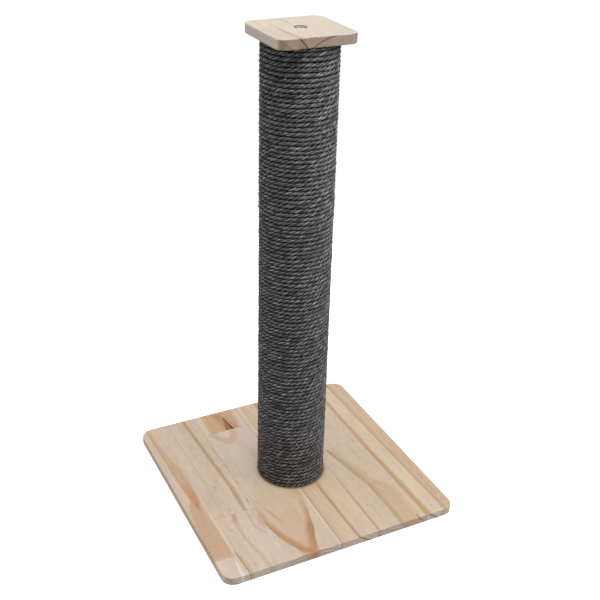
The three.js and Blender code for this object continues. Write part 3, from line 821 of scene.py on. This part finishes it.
pine(
    "base_stave_5_front",
    spot(117, -128, 10, 22, (205, 183, 160), 0.5),
    spot(134, -140, 3, 9, (186, 146, 122), 0.6),
    spot(133, -55, 3, 8, (190, 150, 126), 0.5),
    spot(134, -117, 2.5, 9, (190, 156, 134), 0.5),
    spot(70, -140, 4, 10, SMUDGE, 0.5),
    spot(66, -157, 4, 10, SMUDGE, 0.4),
    spot(126, -175, 3, 14, (184, 156, 124), 0.5),
    line([(15, 57.8), (-60, 58.2), (-200, 58.8)], 3.0, (0.8, 4), (182, 150, 116), 0.85,
        fade=(-200, -200, -110, 10)),
    band([(16, 142, 147), (-60, 142.5, 147), (-140, 143.6, 147), (-200, 144.3, 147)], (1.8, 0.5),
        (190, 153, 115), 0.85),
    line([(16, 88.5), (-12, 92)], 3, (1.5, 2), DARK_TAN, 0.5, fade=(-20, -4, 17, 20)),
    band([(15, 78, 90), (-30, 86, 101), (-60, 92, 108), (-90, 97, 116), (-105, 99, 129), (-120, 99, 132),
        (-200, 99, 132)], (1.5, 10), (199, 172, 142), 0.85, fade=(-201, -200, -60, 50)),
    band([(15, 76.2, 81.5), (5, 77.5, 84.5), (-10, 79.5, 87), (-30, 83.5, 92.5), (-50, 87, 97.5),
        (-60, 88.7, 99), (-70, 91.1, 99.5), (-80, 93.5, 100), (-90, 95, 101.5), (-100, 96, 104),
        (-120, 96.6, 104), (-160, 97.4, 105), (-200, 97, 104)], (1.5, 4.5), (187, 155, 122), 0.9, lean=1.0),
    line([(15, 78), (-10, 81), (-40, 87), (-70, 92.7), (-95, 96.6), (-120, 97.8)], 1.8, (1, 1.8),
        (170, 136, 104), 0.5, lean=1.0, broken=0.3, fade=(-150, -110, 10, 20)),
    line([(-68, 100.5), (-96, 104)], 2.0, (1.2, 2), (206, 174, 140), 0.7, fade=(-104, -92, -72, -62)),
    line([(-190, 131.5), (-200, 130.5)], 2.2, (0.9, 0.9), (118, 88, 70), 0.85, lean=0.86,
        fade=(-200.5, -200.2, -197, -188)),
    line([(15, 120), (-30, 121)], 3, (2, 3), TAN, 0.4, fade=(-40, -18, 8, 18)),
    growth_ring(291, 0.5, 0.8, (140, 114, 96), 0.7),
    pale=(208, 190, 171), warm=(204, 184, 160), pith=(146, 290), spacing=9.0, seed=11, ring_strength=0.04,
    end_tone=(1.1, 1.1, 1.14),
)
pine(
    "base_stave_6",
    spot(187, -150, 3, 14, (132, 104, 84), 0.8),
    spot(186, -128, 3, 10, (158, 128, 104), 0.6),
    spot(193, -151, 3, 8, (150, 112, 82), 0.7),
    spot(183, -163, 3, 8, (196, 140, 108), 0.7),
    spot(196, -160, 3, 12, (200, 148, 118), 0.6),
    spot(185, -27, 2.5, 8, (176, 120, 88), 0.7),
    spot(164, -184, 4, 12, SMUDGE, 0.6),
    spot(150, -150, 5, 20, (190, 148, 108), 0.5),
    band([(200, 145, 149), (80, 145, 149.5), (0, 145, 149.5), (-60, 145, 151.5), (-140, 145, 153.5),
        (-200, 145, 155)], (0.6, 4), (194, 157, 119), 0.9, lean=1.29),
    line([(200, 146.2), (0, 146.2), (-60, 146.5), (-140, 147.5), (-200, 148.5)], 1.6, (0.6, 1.4),
        (166, 130, 98), 0.7, lean=1.29),
    band([(200, 169.5, 203), (140, 171, 203), (60, 173, 203), (0, 174, 203), (-60, 175.3, 203),
        (-140, 177, 203), (-200, 179, 203)], (1.5, 1), (204, 177, 148), 0.85, lean=-0.8),
    band([(200, 169.2, 175), (140, 170.8, 177), (60, 172.6, 178.5), (0, 173.6, 179), (-60, 175.2, 180.5),
        (-140, 176.8, 182), (-200, 178.6, 184)], (2.5, 5), (190, 158, 126), 0.8, lean=-0.8),
    line([(40, 186), (-70, 186), (-200, 187)], 1.6, (1, 1.5), (172, 138, 110), 0.6, broken=0.7,
        fade=(-201, -200, 20, 50)),
    line([(60, 181), (-200, 184)], 1.2, (0.8, 1.2), (184, 142, 108), 0.6, broken=0.9),
    line([(100, 191), (-200, 192)], 1.6, (0.8, 1.2), (184, 142, 106), 0.6, broken=0.9),
    line([(20, 188.5), (-200, 189.5)], 1.0, (0.6, 0.8), (150, 110, 82), 0.6, broken=0.95),
    line([(200, 196), (-200, 196.5)], 1.2, (0.8, 1), (190, 156, 126), 0.45, broken=0.8),
    growth_ring(89, 0.5, 1.0, DARK_RING, 0.85),
    pale=(213, 197, 173), warm=(209, 189, 164), pith=(212, 79), spacing=7.0, seed=9, ring_strength=0.08,
    end_tone=(1.18, 1.34, 1.58),
)
pine(
    "top_board",
    spot(47, 17, 18, 26, (228, 208, 170), 0.6),
    spot(27, 0, 20, 22, (228, 205, 190), 0.5),
    spot(-42, -30, 24, 60, (222, 202, 184), 0.6),
    spot(-12, -50, 8, 12, (214, 190, 168), 0.5),
    spot(34, -60, 56, 9, (240, 232, 222), 0.5),
    band([(2, -35, -29), (-30, -34, -27), (-60, -32, -22)], (2, 7), (210, 178, 156), 0.7,
        fade=(-62, -60, -15, 20)),
    line([(2, -33), (-30, -32), (-60, -29.5)], 1.6, (1, 1.8), (186, 152, 126), 0.8, lean=0.85,
        fade=(-62, -60, -8, 16)),
    line([(54, -5), (27, -5)], 1.8, (1, 1.5), (194, 164, 136), 0.8, fade=(10, 28, 53, 60)),
    line([(-57, -30), (-62, -30)], 2.2, (0.8, 0.8), (112, 70, 54), 0.95, lean=0.85,
        fade=(-62, -62, -59.3, -57.5)),
    line([(-57, -60), (-62, -60)], 1.5, (0.8, 1), (140, 92, 72), 0.8, lean=1.5,
        fade=(-62, -62, -59.3, -57.5)),
    band([(-57, -16, -6), (-62, -16, -6)], (3, 3), (128, 84, 66), 0.5, fade=(-62, -62, -59.3, -57.5),
        depth=3),
    growth_ring(82.8, 0.8, 2.2, (132, 92, 70), 0.85),
    pale=(226, 217, 203), warm=(222, 208, 190), pith=(35.4, 667.8), spacing=8.0, seed=10,
    ring_strength=0.06, ring_colour=(206, 186, 160), recess_shade=True, end_tone=(0.8, 0.68, 0.58),
)

# -------------------- other materials


def rope_material():
    shader = Shader("dyed_sisal")
    strand = shader.attribute("strand", "Vector")
    yarn = shader.attribute("yarn", "Vector")
    crest = shader.attribute("crest", "Fac")
    _, across, _ = shader.split(yarn)
    outward = shader.times(across, 1 / ROPE_RADIUS)
    broad = shader.noise(strand, (24, 170, 170), detail=3, roughness=0.6)
    fibre = shader.noise(yarn, (110, 1900, 1900), detail=3, roughness=0.65)
    strand_fibre = shader.noise(strand, (80, 1200, 1200))
    both = shader.plus(shader.times(fibre, 0.6), shader.times(strand_fibre, 0.4))
    colour = shader.mix(shader.ramp(both, 0.4, 0.62), looks(16, 15, 18), looks(150, 148, 150))
    tint = shader.noise(yarn, (50, 500, 500), (3, 1, 2), detail=1)
    colour = shader.mix(shader.ramp(tint, 0.56, 0.7, 0, 0.35), colour, looks(112, 96, 86))
    colour = shader.mix(shader.ramp(tint, 0.44, 0.3, 0, 0.4), colour, looks(78, 84, 106))

    # Strands differ in tone. Painted shade: their grooves, and the sides they press on each other, are
    # darker, less so towards the top.
    colour = shader.scaled(colour, shader.ramp(broad, 0.34, 0.66, 0.45, 1.6, smooth=False))
    _, (_, _, z) = shader.coordinates()
    groove = shader.ramp(z, 300 * MM, 700 * MM, 0.14, 0.45)
    colour = shader.scaled(colour, shader.ramp(crest, 0.1, 0.8, groove, 1.14))
    colour = shader.scaled(colour, shader.ramp(outward, 0.28, 0.88, groove, 1.16))
    grit = shader.noise(yarn, (330, 800, 800), (7, 2, 4), detail=1)
    colour = shader.scaled(colour, shader.ramp(grit, 0.34, 0.66, 0.68, 1.34, smooth=False))
    speck = shader.noise(yarn, (260, 2300, 2300), (5, 5, 5), detail=0)
    colour = shader.mix(shader.ramp(speck, 0.76, 0.82, 0, 0.8), colour, looks(200, 194, 188))

    # Painted shade: the rope grows darker towards the foot, and a painted shadow makes it darkest where it
    # meets the base. It is also browner towards the foot.
    colour = shader.scaled(colour, shader.ramp(z, 20 * MM, 480 * MM, 0.82, 1.0, smooth=False))
    colour = shader.scaled(colour, shader.ramp(z, 15 * MM, 21 * MM, 0.15, 1.0))
    browner = shader.tinted(colour, (1.0, 0.91, 0.84, 1))
    colour = shader.mix(shader.ramp(z, 170 * MM, 30 * MM), colour, browner)
    return shader.finish(colour, 0.62, shader.bump(both, 1.0, 0.5 * MM), Specular_IOR_Level=0.35)


def fibre_material():
    shader = Shader("loose_sisal_fibre")
    tint = shader.attribute("tint", "Fac")
    colour = shader.mix(shader.ramp(tint, 0.1, 1), looks(56, 54, 54), looks(206, 202, 196))
    place, _ = shader.coordinates()
    drift = shader.noise(place, (160, 160, 160), detail=1)
    colour = shader.mix(shader.ramp(drift, 0.45, 0.7, 0, 0.5), colour, looks(132, 116, 98))
    return shader.finish(colour, 0.7, Specular_IOR_Level=0.3)


def cardboard_material():
    shader = Shader("grey_cardboard")
    place, _ = shader.coordinates()
    pulp = shader.noise(place, (420, 420, 160), detail=4)
    colour = shader.mix(pulp, looks(128, 108, 84), looks(176, 154, 124))
    bumped = shader.bump(pulp, 0.4, 0.2 * MM)
    return shader.finish(colour, shader.ramp(pulp, 0.3, 0.7, 0.82, 0.92), bumped, Specular_IOR_Level=0.2)


def plug_material():
    shader = Shader("plug_plywood")
    place, (_, _, z) = shader.coordinates()
    layers = shader.math("FRACT", shader.times(z, 1 / (1.9 * MM)))
    fibre = shader.noise(place, (900, 60, 200), detail=3)
    colour = shader.mix(fibre, looks(190, 158, 116), looks(218, 192, 152))
    colour = shader.mix(shader.ramp(layers, 0.44, 0.52, 0, 0.3), colour, looks(160, 124, 84))
    bumped = shader.bump(fibre, 0.3, 0.15 * MM)
    return shader.finish(colour, shader.ramp(fibre, 0.3, 0.7, 0.8, 0.66), bumped, Specular_IOR_Level=0.3)


def zinc_material():
    shader = Shader("zinc_plated_steel")
    place, _ = shader.coordinates()
    grime = shader.noise(place, (260, 260, 260), detail=3)
    scratch = shader.noise(place, (2600, 300, 900))
    colour = shader.mix(grime, (0.42, 0.46, 0.53, 1), (0.66, 0.7, 0.76, 1))
    bumped = shader.bump(scratch, 0.25, 0.03 * MM)
    return shader.finish(colour, shader.ramp(grime, 0.3, 0.7, 0.56, 0.42), bumped, Metallic=0.6)


# -------------------- other pieces

zinc = zinc_material()
plywood = plug_material()
for name in nodes:
    if "bolt" in name or "insert" in name or "staple" in name:
        dress(name, zinc)
    elif name.endswith("end_plug"):
        dress(name, plywood)
dress("post_tube", cardboard_material())

rope_low, rope_high = (corner.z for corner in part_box("rope_winding"))
rope = build_rope(rope_low, rope_high)
rope.data.materials.append(rope_material())
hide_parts("rope_winding")
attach(rope, "root")

fibres = build_fibres(rope_low, rope_high)
fibres.data.materials.append(fibre_material())
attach(fibres, "root")

# -------------------- floor, light and camera


def direction(azimuth, elevation):
    """Unit vector towards a place in the sky. Azimuth is measured from +X towards +Y."""
    a, e = math.radians(azimuth), math.radians(elevation)
    return Vector((math.cos(a) * math.cos(e), math.sin(a) * math.cos(e), math.sin(e)))


def add_floor():
    """A round white light table. What lies beyond its edge is the white of the world."""
    angles = [TAU * side / FLOOR_SIDES for side in range(FLOOR_SIDES)]
    rim = [(FLOOR_RADIUS * math.cos(a), FLOOR_RADIUS * math.sin(a), -FLOOR_BELOW) for a in angles]
    faces = [(FLOOR_SIDES, side, (side + 1) % FLOOR_SIDES) for side in range(FLOOR_SIDES)]
    floor = mesh_object("floor", rim + [(0, 0, -FLOOR_BELOW)], faces, smooth=False)
    shader = Shader("white_floor")
    seen = shader.add("ShaderNodeLightPath").outputs["Is Camera Ray"]
    shader.put(shader.surface.inputs["Emission Strength"], shader.times(seen, FLOOR_GLOW))
    colour = (*FLOOR_COLOUR, 1)
    white = shader.finish(colour, 0.9, Specular_IOR_Level=0, Emission_Color=(1, 1, 1, 1))
    floor.data.materials.append(white)
    return floor


def add_lamp(name, look):
    towards = direction(look["azimuth"], look["elevation"])
    width = math.radians(look["width"])
    distance = look.get("distance")
    lamp = bpy.data.lights.new(name, "AREA" if distance else "SUN")
    lamp.energy = look["strength"]
    piece = bpy.data.objects.new(name, lamp)
    piece.rotation_mode = "QUATERNION"
    piece.rotation_quaternion = towards.to_track_quat("Z", "Y")
    if distance:
        lamp.shape = "DISK"
        lamp.size = 2 * distance * math.tan(width / 2)
        piece.location = LAMP_AIM + towards * distance
        piece.visible_camera = False
    else:
        lamp.angle = width
    bpy.context.scene.collection.objects.link(piece)
    return piece


def group(name, members):
    collection = bpy.data.collections.new(name)
    for member in members:
        collection.objects.link(member)
    return collection


def add_lights(floor):
    boards = [node for node in nodes.values() if node.name not in ("rope_winding", "post_tube")]
    boards.append(floor)
    receivers = {"post": [rope, fibres], "boards": boards, "top": [nodes["top_board"]]}
    for name, look in LAMPS.items():
        linking = add_lamp(name, look).light_linking
        linking.receiver_collection = group(name + "_onto", receivers[look["onto"]])
        if look["onto"] == "boards" and not look.get("post_blocks"):
            linking.blocker_collection = group(name + "_blockers", boards)


def add_world():
    """A weak fill that the camera sees as white."""
    world = bpy.data.worlds.new("studio")
    world.use_nodes = True
    tree = world.node_tree
    fill = tree.nodes["Background"]
    seen = tree.nodes.new("ShaderNodeBackground")
    for background, strength in ((fill, WORLD_FILL), (seen, WORLD_SEEN)):
        background.inputs["Color"].default_value = (1, 1, 1, 1)
        background.inputs["Strength"].default_value = strength
    mix = tree.nodes.new("ShaderNodeMixShader")
    path = tree.nodes.new("ShaderNodeLightPath")
    tree.links.new(path.outputs["Is Camera Ray"], mix.inputs[0])
    tree.links.new(fill.outputs[0], mix.inputs[1])
    tree.links.new(seen.outputs[0], mix.inputs[2])
    tree.links.new(mix.outputs[0], tree.nodes["World Output"].inputs["Surface"])
    bpy.context.scene.world = world


def add_camera():
    back = direction(CAMERA_AZIMUTH - 90, CAMERA_ELEVATION)
    right = (-back).cross(Vector((0, 0, 1))).normalized()
    up = right.cross(-back)
    lean = math.radians(CAMERA_LEAN)
    leaning_right = right * math.cos(lean) + up * math.sin(lean)
    leaning_up = up * math.cos(lean) - right * math.sin(lean)
    place = CAMERA_TARGET + back * CAMERA_DISTANCE
    lens = bpy.data.cameras.new("camera")
    lens.lens = CAMERA_LENS
    camera = bpy.data.objects.new("camera", lens)
    axes = Matrix((leaning_right, leaning_up, back)).transposed().to_4x4()
    camera.matrix_world = Matrix.Translation(place) @ axes
    bpy.context.scene.collection.objects.link(camera)
    bpy.context.scene.camera = camera


add_lights(add_floor())
add_world()
add_camera()
bpy.context.scene.view_settings.view_transform = "Standard"

# -------------------- update

bpy.context.view_layer.update()
